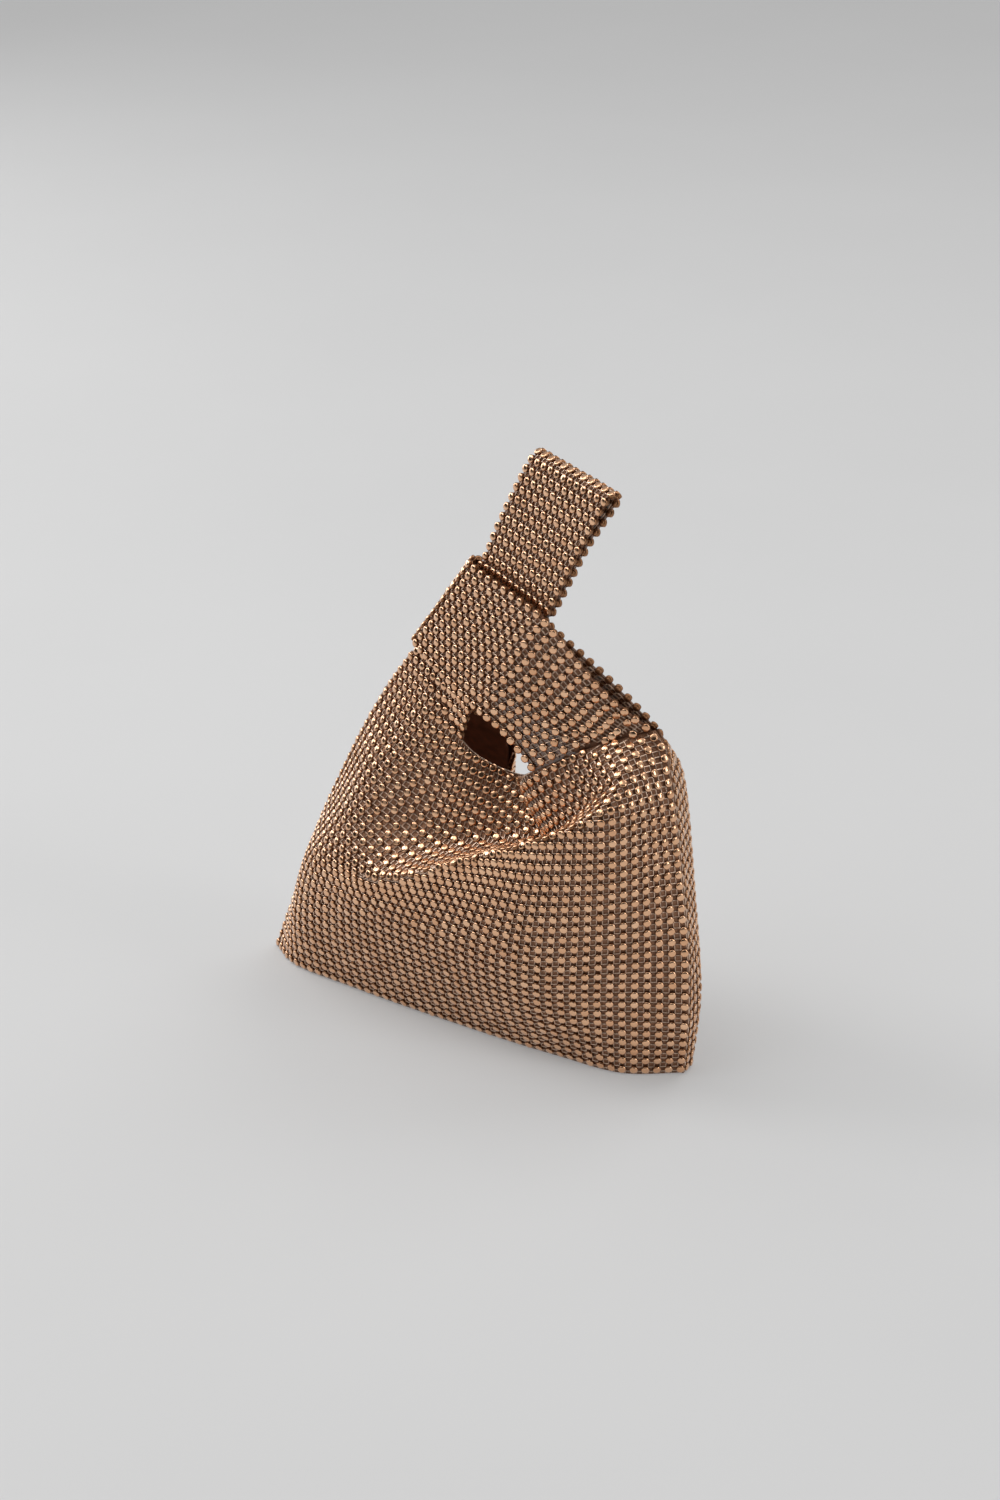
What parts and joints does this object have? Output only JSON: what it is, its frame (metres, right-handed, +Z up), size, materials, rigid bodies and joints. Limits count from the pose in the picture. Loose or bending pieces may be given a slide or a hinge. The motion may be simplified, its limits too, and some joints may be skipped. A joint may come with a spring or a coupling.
{
  "type": "rhinestone wrist bag",
  "caption": "Soft rhinestone mesh wrist bag that stands by itself: a rounded sack on a narrow flat base, with a long strap loop drawn through a short one above an open neck.",
  "frame": {"origin": "middle of the flat base, on the surface that the bag stands on", "axes": "+Z up, +Y from the front panel to the back panel, +X from the long handle's side to the short handle's side"},
  "size_m": [0.2023, 0.0789, 0.2349],
  "materials": {
    "stone_mesh": "metal net set with copper rhinestones, bright and mirror-like",
    "lining_satin": "smooth dark brown satin"
  },
  "bodies": {
    "root": {"front_panel": "stone_mesh", "back_panel": "stone_mesh", "base_panel": "stone_mesh", "long_handle": "stone_mesh", "short_handle": "stone_mesh", "lining": "lining_satin"}
  },
  "joints": []
}
